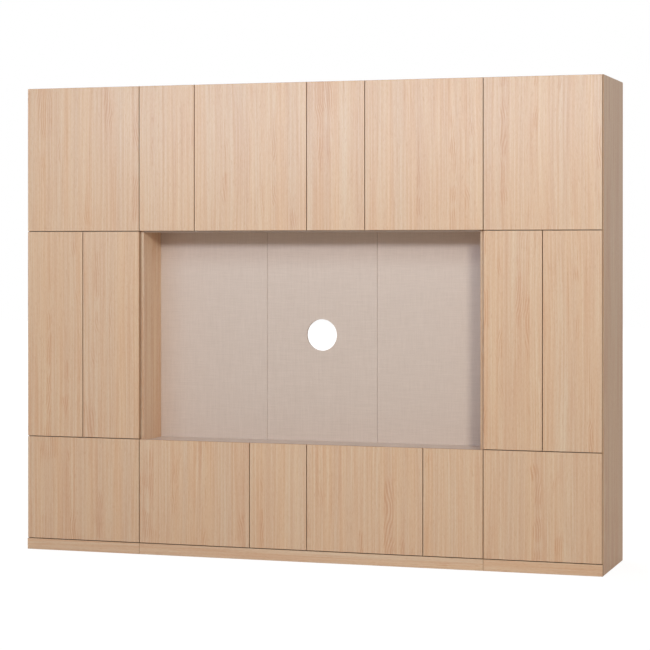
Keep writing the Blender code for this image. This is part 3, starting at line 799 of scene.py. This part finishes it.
def arm_points(face):
    """The hinge arm in plan, a cover's gap outside the frame's solid."""
    near = math.hypot(CUP_EDGE, DOOR_BOARD) + ARM_CLEARANCE - COVER_GAP
    far = NOSE_REACH_IN + COVER_GAP
    tip = DOOR_BOARD - CUP_BORE_DEPTH + NOSE_TIP_GAP - COVER_GAP
    inner = face + PLATE_THICKNESS - 0.001
    outer = face + PLATE_THICKNESS + ARM_THICKNESS + COVER_GAP
    tail = CARCASS_FRONT + ARM_LENGTH + COVER_GAP
    crank = CARCASS_FRONT + SHOULDER_SHARE * ARM_LENGTH
    throat = CARCASS_FRONT + SHOULDER_SHARE * PLATE_SETBACK
    lean = COVER_GAP / 2
    return [
        (inner, tail), (inner, crank - lean), (near, throat - lean), (near, tip + NOSE_CHAMFER),
        (near + NOSE_CHAMFER, tip), (far - NOSE_CHAMFER, tip), (far, tip + NOSE_CHAMFER),
        (far, throat - lean), (outer, crank - lean), (outer, tail),
    ]


def arm_kit(face):
    """Hinge arm over its winged mounting plate, with its screws, rivets and release lever."""
    kit = Kit()
    half = ARM_HEIGHT / 2 + COVER_GAP
    kit.outline(arm_points(face), -half, half, NICKEL, STAMPED_ROUND)
    top = face + PLATE_THICKNESS + ARM_THICKNESS + COVER_GAP
    tail = CARCASS_FRONT + ARM_LENGTH
    for back, radius in ARM_SCREWS:
        # A near-black ring under each screw head: painted shade
        kit.turned([(0, 0.0003), (radius + 0.0007, 0.0003), (radius + 0.0011, 0), (0, 0)],
                   RECESS_SHADE, at(top, back, 0) @ TOWARDS_X, 20)
        kit.screw(at(top + 0.0002, back, 0) @ TOWARDS_X, radius, 0.0014)
    kit.block((top - 0.0010, tail - 0.0090, -0.0052), (top + 0.0014, tail + 0.0022, 0.0052),
              ZINC, MOULDED_ROUND)
    # The lever's grooves are near-black strips: painted shade
    for groove in LEVER_GROOVES:
        kit.block((top + 0.0012, tail - groove - 0.0005, -0.0040),
                  (top + 0.0017, tail - groove, 0.0040), RECESS_SHADE)
    middle = CARCASS_FRONT + PLATE_SETBACK
    skin = face + PLATE_THICKNESS + COVER_GAP
    for end, turn in ((1, UPRIGHT), (-1, DOWNWARD)):
        for along, back in ARM_RIVETS:
            kit.turned([(0, 0.0006), (0.0012, 0.0005), (0.0017, 0), (0, 0)], ZINC,
                       at(along, back, end * half) @ turn, 14)
        wing = end * (PLATE_WING_HEIGHT / 2 - WING_SCREW_INSET)
        kit.screw(at(skin, middle, wing) @ TOWARDS_X, 0.0036, 0.0015)
    width = PLATE_WING_WIDTH / 2 + COVER_GAP
    height = PLATE_WING_HEIGHT / 2 + COVER_GAP
    kit.block((face - 0.0004, middle - width, -height), (skin, middle + width, height),
              NICKEL, STAMPED_ROUND)
    length = PLATE_RAIL_LENGTH / 2 + COVER_GAP
    rail = RAIL_SHARE * ARM_HEIGHT / 2 + COVER_GAP
    kit.block((face - 0.0004, middle - length, -rail), (skin, middle + length, rail),
              NICKEL, STAMPED_ROUND)
    return kit.done("hinge_arm")


def latch_kit():
    """Push latch housing with its screwed wings and plunger tip, hung under a board at z 0."""
    kit = Kit()
    wide = LATCH_WIDTH / 2 + COVER_GAP
    low = -LATCH_HEIGHT - COVER_GAP
    front = CARCASS_FRONT - COVER_GAP
    rear = CARCASS_FRONT + LATCH_LENGTH + COVER_GAP
    kit.block((-wide, front, low), (wide, rear, 0.0004), GREY_PLASTIC, STAMPED_ROUND)
    middle = -LATCH_HEIGHT / 2
    for side in (-1, 1):
        near, far = sorted((side * (wide - 0.001), side * (wide + LATCH_WING_REACH)))
        kit.block((near, front + LATCH_WING_FRONT, -0.0022), (far, front + LATCH_WING_REAR, 0.0002),
                  GREY_PLASTIC, MOULDED_ROUND)
        kit.screw(at(side * (wide + 0.0038), front + 0.025, -0.0022) @ DOWNWARD, 0.0026, 0.0012)
        kit.block((side * wide - 0.0003, front + 0.036, middle - 0.003),
                  (side * wide + 0.0003, rear - 0.006, middle + 0.003), GREY_PLASTIC, 0.0002)
    kit.turned([(0, 0), (PLUNGER_RADIUS - 0.0006, 0), (PLUNGER_RADIUS + 0.0003, 0.0007),
                (PLUNGER_RADIUS + 0.0003, 0.0012), (PLUNGER_RADIUS + 0.0003, front - DOOR_BOARD),
                (0, front - DOOR_BOARD)], WHITE_PLASTIC,
               at(0, DOOR_BOARD + SHEET_GAP * 8, middle) @ TOWARDS_BACK, 20)
    kit.turned([(PLUNGER_RADIUS + 0.0003, 0), (0.0050, 0), (0.0053, 0.0003), (0.0053, 0.0006),
                (PLUNGER_RADIUS + 0.0003, 0.0006), (PLUNGER_RADIUS + 0.0003, 0)], GREY_PLASTIC,
               at(0, front, middle) @ TOWARDS_FRONT, 20)
    return kit.done("push_latch")


def strike_kit():
    """Thin steel disc on a door's back, where its latch presses."""
    kit = Kit()
    kit.turned([(0, 0.00014), (0.0063, 0.00014), (0.0065, 0.00004), (0.0065, 0.00001),
                (0, 0.00001)], NICKEL, at(0, DOOR_BOARD, 0) @ TOWARDS_BACK, 28)
    return kit.done("strike_disc")


def bumper_kit():
    """Soft dome of white plastic on a carcass front edge."""
    kit = Kit()
    kit.turned([(0, 0.0015), (0.0012, 0.00145), (0.0022, 0.0011), (0.0028, 0.0004), (0.0028, 0),
                (0, 0)], WHITE_PLASTIC, at(0, CARCASS_FRONT, 0) @ TOWARDS_FRONT, 20)
    return kit.done("bumper")


def shelf_pin_kit():
    """Steel shelf pin that comes out of an upright along X, with its collar and its flat."""
    kit = Kit()
    kit.turned([(0, 0), (0.0040, 0), (0.0040, 0.0010), (0.0025, 0.0012), (0.0025, 0.0078),
                (0.0021, 0.0084), (0, 0.0084)], NICKEL, TOWARDS_X, 20)
    kit.block((0.0008, -0.0042, 0.0012), (0.0084, 0.0042, 0.0024), NICKEL, STAMPED_ROUND)
    return kit.done("shelf_pin")


def pin_hole_shade_kit():
    """A near-black disc of painted shade on an upright's face, where a 5 mm shelf pin hole opens,
    along X.
    """
    kit = Kit()
    kit.turned([(0, 0.00002), (0.0021, 0.00002), (0.0025, 0.00008), (0.0026, 0.00001),
                (0, 0.00001)], RECESS_SHADE, TOWARDS_X, 16)
    return kit.done("pin_hole_shade")


def cam_kit():
    """Cap over a cam fitting, facing up, with its cross slot."""
    kit = Kit()
    kit.turned([(0, 0.0009), (0.0070, 0.0009), (0.0084, 0.0006), (0.0088, 0.0001), (0, 0.0001)],
               WHITE_PLASTIC, UPRIGHT, 28)
    kit.turned([(0, 0.0012), (0.0034, 0.0012), (0.0038, 0.0008), (0, 0.0008)], ZINC, UPRIGHT, 20)
    # The cross slot is two near-black strips: painted shade
    for along, across in ((0.0026, 0.0005), (0.0005, 0.0026)):
        kit.block((-along, -across, 0.0011), (along, across, 0.0013), RECESS_SHADE)
    return kit.done("cam_cap")


def foot_kit(height):
    """Ribbed sleeve and pad of a levelling foot that stands on the floor at z 0."""
    kit = Kit()
    stem = FOOT_STEM_RADIUS + COVER_GAP + 0.0003
    pad = FOOT_PAD_RADIUS + COVER_GAP + 0.0003
    kit.turned([(0, FOOT_PAD_HEIGHT + 0.0012), (stem, FOOT_PAD_HEIGHT + 0.0012),
                (stem + 0.0030, FOOT_PAD_HEIGHT + 0.0006), (pad - 0.0012, FOOT_PAD_HEIGHT + 0.0003),
                (pad, FOOT_PAD_HEIGHT - 0.0012), (pad, 0), (0, 0)], BLACK_PLASTIC, UPRIGHT, 40)
    points = [(0, FOOT_PAD_HEIGHT), (stem, FOOT_PAD_HEIGHT)]
    rise = FOOT_PAD_HEIGHT + 0.004
    while rise + 0.006 < height - 0.010:
        points += [(stem, rise), (stem + 0.0012, rise + 0.0010), (stem + 0.0012, rise + 0.0022),
                   (stem, rise + 0.0032)]
        rise += FOOT_RIB_PITCH
    flange = stem + FOOT_FLANGE_OUT
    points += [(stem, height - 0.0030), (flange, height - 0.0026), (flange, height), (0, height)]
    kit.turned(points, BLACK_PLASTIC, UPRIGHT, 40)
    for turn in range(4):
        spin = Matrix.Rotation(math.radians(45 + 90 * turn), 4, "Z")
        kit.screw(spin @ at(stem + FOOT_SCREW_OUT, 0, height - 0.0026) @ DOWNWARD, 0.0024, 0.0010)
    return kit.done("levelling_foot")


def wall_bracket_kit():
    """Slotted steel plate with two screws, on the back of a rear board."""
    kit = Kit()
    kit.block((-0.020, 0.0001, -0.034), (0.020, 0.0021, 0.034), ZINC, MOULDED_ROUND)
    # The slot and its round end are near-black shapes on the plate: painted shade
    kit.block((-0.0030, 0.0020, 0.008), (0.0030, 0.0023, 0.026), RECESS_SHADE, 0.0001)
    kit.turned([(0, 0.0003), (0.0055, 0.0003), (0.0055, 0), (0, 0)], RECESS_SHADE,
               at(0, 0.0020, 0.010) @ TOWARDS_BACK, 20)
    for x in (-0.0110, 0.0110):
        kit.screw(at(x, 0.0021, -0.018) @ TOWARDS_BACK, 0.0042, 0.0020)
    return kit.done("wall_bracket")


def rear_screw_kit():
    """Pan head screw that holds a rear board, with its washer."""
    kit = Kit()
    kit.turned([(0, 0.0006), (0.0050, 0.0006), (0.0054, 0.0001), (0, 0.0001)], ZINC,
               TOWARDS_BACK, 20)
    kit.screw(at(0, 0.0005, 0) @ TOWARDS_BACK, 0.0036, 0.0018)
    return kit.done("rear_screw")


def level_of(board):
    """The underside and top of a level board, whatever hangs under it."""
    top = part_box(board)[1].z
    return top - CARCASS_BOARD, top


def doors():
    """Each door's name, hinged edge, side, box and the boards above and below its free corner."""
    rows = []
    for joint in frame["joints"]:
        name = joint["child"]
        side = -round(joint["axis"][2])
        low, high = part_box(name)
        middle = (low.x + high.x) / 2
        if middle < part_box("left_tower_side")[1].x:
            bay = "left_tower"
        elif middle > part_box("right_tower_side")[0].x:
            bay = "right_tower"
        else:
            bay = "centre"
        row = name.split("_")[0]
        level = {"top": ("top", "upper_deck"), "middle": ("upper_deck", "lower_deck"),
                 "bottom": ("lower_deck", "bottom")}[row]
        if bay == "centre":
            boards = {"top": ("bridge_top", "niche_ceiling"),
                      "bottom": ("niche_floor", "base_bottom")}[row]
        else:
            boards = tuple(f"{bay}_{word}" for word in level)
        rows.append((name, joint["pos_m"][0], side, low, high, boards))
    return rows


def fit_doors():
    """Cups and strike discs on the doors; arms, latches and bumpers on the carcass."""
    cup, strike, latch, bumper = cup_kit(), strike_kit(), latch_kit(), bumper_kit()
    arms = {}
    on_uprights = {}
    latches = []
    bumpers = []
    for name, edge, side, low, high, boards in doors():
        carrier = CARRIERS[name]
        face = arm_face(edge, side, carrier)
        if face not in arms:
            arms[face] = arm_kit(face)
        free = high.x if side > 0 else low.x
        mirror = Matrix.Diagonal((side, 1, 1, 1))
        on_door = []
        for z in hinge_heights(low.z, high.z):
            spot = at(edge, FRONT_Y, z) @ mirror
            on_door.append((cup, spot))
            on_uprights.setdefault(carrier, []).append((arms[face], spot))
        latch_x = free - side * LATCH_INSET
        under = level_of(boards[0])[0]
        on_door.append((strike, at(latch_x, FRONT_Y, under - LATCH_HEIGHT / 2)))
        latches.append((latch, at(latch_x, FRONT_Y, under)))
        for board in boards:
            board_low, board_high = level_of(board)
            shared = sorted((max(board_low, low.z), min(board_high, high.z)))
            if shared[1] - shared[0] > BUMPER_ROOM:
                bumpers.append((bumper, at(free - side * BUMPER_INSET, FRONT_Y, sum(shared) / 2)))
        stamped(name + "_cups", name, on_door)
    for carrier, stamps in on_uprights.items():
        stamped(carrier + "_hinge_arms", CARCASS, stamps)
    stamped("push_latches", CARCASS, latches)
    stamped("door_bumpers", CARCASS, bumpers)


def fit_shelves():
    """Pins under each loose shelf, and near-black discs of painted shade for the spare pin holes
    above and below it.
    """
    pin, hole = shelf_pin_kit(), pin_hole_shade_kit()
    pins = []
    holes = []
    for name in sorted(frame["nodes"]):
        if "shelf" not in name:
            continue
        low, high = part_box(name)
        for x, side in ((low.x, 1), (high.x, -1)):
            mirror = Matrix.Diagonal((side, 1, 1, 1))
            for y in (FRONT_Y + CARCASS_FRONT + PLATE_SETBACK, BACK_Y - REAR_PIN_INSET):
                pins.append((pin, at(x - side * PIN_SEAT, y, low.z - PIN_DROP) @ mirror))
                for step in SPARE_HOLE_STEPS:
                    z = low.z - PIN_DROP + step * PIN_PITCH
                    holes.append((hole, at(x - side * PIN_SEAT, y, z) @ mirror))
    stamped("shelf_pins", CARCASS, pins)
    stamped("shelf_pin_hole_shades", CARCASS, holes)


def fit_cams():
    """Caps over the cam fittings that draw the level boards to the uprights."""
    cap = cam_kit()
    stamps = []
    for name in sorted(frame["nodes"]):
        if not name.endswith(("_top", "_deck", "_bottom", "_ceiling", "_floor")):
            continue
        low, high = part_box(name)
        under, top = level_of(name)
        upward = name.endswith(("_bottom", "_ceiling"))
        turn = UPRIGHT if upward else DOWNWARD
        for x in (low.x + CAM_INSET, high.x - CAM_INSET):
            for y in (FRONT_Y + CARCASS_FRONT + PLATE_SETBACK + CAM_SETBACK,
                      BACK_Y - REAR_PIN_INSET):
                stamps.append((cap, at(x, y, top if upward else under) @ turn))
    stamped("cam_caps", CARCASS, stamps)


def fit_rear():
    """Screws along the rear boards, where they meet level boards, and plates for the wall."""
    screw, bracket = rear_screw_kit(), wall_bracket_kit()
    words = ("top", "upper_deck", "lower_deck", "bottom")
    rows = {
        "left_tower_back": [f"left_tower_{word}" for word in words],
        "right_tower_back": [f"right_tower_{word}" for word in words],
        "bridge_back": ("bridge_top", "niche_ceiling"),
        "base_back": ("niche_floor", "base_bottom"),
    }
    screws = []
    plates = []
    for name, boards in rows.items():
        low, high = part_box(name)
        count = max(2, round((high.x - low.x) / SCREW_PITCH))
        for board in boards:
            z = sum(level_of(board)) / 2
            z = min(max(z, low.z + REAR_SCREW_EDGE), high.z - REAR_SCREW_EDGE)
            span = high.x - low.x - 2 * REAR_SCREW_INSET
            for index in range(count + 1):
                x = low.x + REAR_SCREW_INSET + index * span / count
                screws.append((screw, at(x, high.y, z)))
        if "_top" in boards[0]:
            for x in (low.x + BRACKET_INSET, high.x - BRACKET_INSET):
                plates.append((bracket, at(x, high.y, high.z - BRACKET_DROP)))
    stamped("rear_board_screws", CARCASS, screws)
    stamped("wall_brackets", CARCASS, plates)


def fit_feet():
    """Ribbed sleeves over the levelling feet, in line with the base's inner door gaps."""
    rear_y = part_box("base_bottom")[1].y
    under = level_of("base_bottom")[0]
    foot = foot_kit(under)
    stamps = []
    for index in (2, 3, 4):
        x = (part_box(f"bottom_door_{index}")[1].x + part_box(f"bottom_door_{index + 1}")[0].x) / 2
        for y in (FRONT_Y + CARCASS_FRONT + FOOT_INSET, rear_y - FOOT_INSET):
            stamps.append((foot, at(x, y, 0)))
    stamped("levelling_feet", CARCASS, stamps)


fit_doors()
fit_shelves()
fit_cams()
fit_rear()
fit_feet()


# Stage


def sees_backdrop(tree, camera_share, gloss_share):
    """How much of the plain backdrop shows to the camera, and to gloss and clear materials."""
    path = tree.node("LightPath").outputs
    gloss = tree.math("MAXIMUM", path["Is Glossy Ray"], path["Is Transmission Ray"])
    gloss = tree.math("MULTIPLY", gloss, gloss_share)
    return tree.math("MAXIMUM", gloss, tree.math("MULTIPLY", path["Is Camera Ray"], camera_share))


def clear_of_unit(tree):
    """1 on the open floor and 0 on the floor under the unit."""
    spot = tree.node("SeparateXYZ", {"Vector": tree.node("TexCoord").outputs["Object"]})
    across = tree.math("ABSOLUTE", spot.outputs["X"])
    along = tree.math("ABSOLUTE", spot.outputs["Y"])
    across = tree.spread(across, RIGHT_FACE - SHADE_EDGE, RIGHT_FACE)
    along = tree.spread(along, BACK_Y - SHADE_EDGE, BACK_Y)
    return tree.math("MAXIMUM", across, along)


def near_and_far(tree, near, far):
    """A value for the floor near the unit that passes into one for the floor far away."""
    spot = tree.node("TexCoord").outputs["Object"]
    squared = tree.vector("DOT_PRODUCT", spot, spot)
    return tree.spread(squared, NEAR_FLOOR ** 2, FAR_FLOOR ** 2, near, far)


def make_floor():
    """A wide pale floor that shows white to the camera and stays in shade under the unit."""
    made, tree, shader = new_material("studio_floor")
    shader["Base Color"].default_value = FLOOR_COLOUR
    shader["Roughness"].default_value = FLOOR_ROUGHNESS
    glow = tree.node("Emission", {"Color": WHITE, "Strength": FLOOR_WHITE})
    seen = sees_backdrop(tree, near_and_far(tree, NEAR_SHARE, FAR_SHARE), GLOSS_SHARE)
    share = tree.math("MULTIPLY", seen, clear_of_unit(tree))
    output = made.node_tree.nodes["Material Output"]
    solid = made.node_tree.nodes["Principled BSDF"].outputs[0]
    mixed = tree.node("MixShader", {0: share, 1: solid, 2: glow.outputs[0]})
    tree.feed(output.inputs["Surface"], mixed.outputs[0])
    bm = bmesh.new()
    bmesh.ops.create_grid(bm, x_segments=1, y_segments=1, size=FLOOR_HALF)
    mesh = bpy.data.meshes.new("studio_floor")
    bm.to_mesh(mesh)
    bm.free()
    floor = bpy.data.objects.new("studio_floor", mesh)
    bpy.context.scene.collection.objects.link(floor)
    floor.data.materials.append(made)


def make_world(colour, strength):
    """Soft ambient light; the camera and gloss see plain white."""
    world = bpy.data.worlds.new("studio_world")
    bpy.context.scene.world = world
    world.use_nodes = True
    tree = Tree(world.node_tree)
    seen = sees_backdrop(tree, 1.0, 1.0)
    dim = tuple(part * strength for part in colour)
    background = world.node_tree.nodes["Background"].inputs
    tree.feed(background["Color"], tree.mix(seen, (*dim, 1), WHITE))
    background["Strength"].default_value = 1.0


def area_light(name, aim, azimuth, elevation, distance, size, colour, power):
    """A soft box that looks at aim from an azimuth right of the front and an elevation."""
    lamp = bpy.data.lights.new(name, "AREA")
    lamp.shape = "RECTANGLE"
    lamp.size, lamp.size_y = size
    lamp.color = colour
    lamp.energy = power
    made = bpy.data.objects.new(name, lamp)
    turn = math.radians(azimuth)
    rise = math.radians(elevation)
    level = math.cos(rise)
    away = Vector((math.sin(turn) * level, -math.cos(turn) * level, math.sin(rise)))
    made.location = Vector(aim) + away * distance
    made.rotation_euler = away.to_track_quat("Z", "Y").to_euler()
    bpy.context.scene.collection.objects.link(made)


def make_camera():
    """The photograph's camera."""
    lens = bpy.data.cameras.new("photo_camera")
    lens.sensor_width = SENSOR_MM
    lens.lens = FOCAL_PIXELS / PHOTO_PIXELS * SENSOR_MM
    lens.shift_y = PRINCIPAL_ROW / PHOTO_PIXELS - 0.5
    lens.clip_end = 200
    made = bpy.data.objects.new("photo_camera", lens)
    made.location = CAMERA_SPOT
    made.rotation_euler = (math.pi / 2 + CAMERA_PITCH, 0, CAMERA_YAW)
    bpy.context.scene.collection.objects.link(made)
    bpy.context.scene.camera = made


make_camera()
make_floor()
make_world(colour=(1.0, 0.841, 0.77), strength=0.2)
area_light("key_box", aim=(0, FRONT_Y, TOP_Z / 2), azimuth=30, elevation=17.8, distance=13.0,
           size=(1.8, 1.65), colour=(1.0, 0.988, 0.858), power=590)
area_light("strip_fill", aim=(0, FRONT_Y, 1.64), azimuth=0, elevation=16.5, distance=2.8,
           size=(5.0, 0.35), colour=(0.622, 0.746, 1.0), power=40.7)
area_light("upper_fill", aim=(0, FRONT_Y, 2.2), azimuth=-4, elevation=26, distance=4.0,
           size=(6.0, 1.0), colour=(0.714, 0.912, 1.0), power=62.7)
area_light("rear_fill", aim=(0, BACK_Y, TOP_Z / 2), azimuth=218, elevation=38, distance=9.0,
           size=(6.0, 4.0), colour=(0.94, 0.97, 1.0), power=440)

bpy.context.scene.view_settings.view_transform = "Standard"
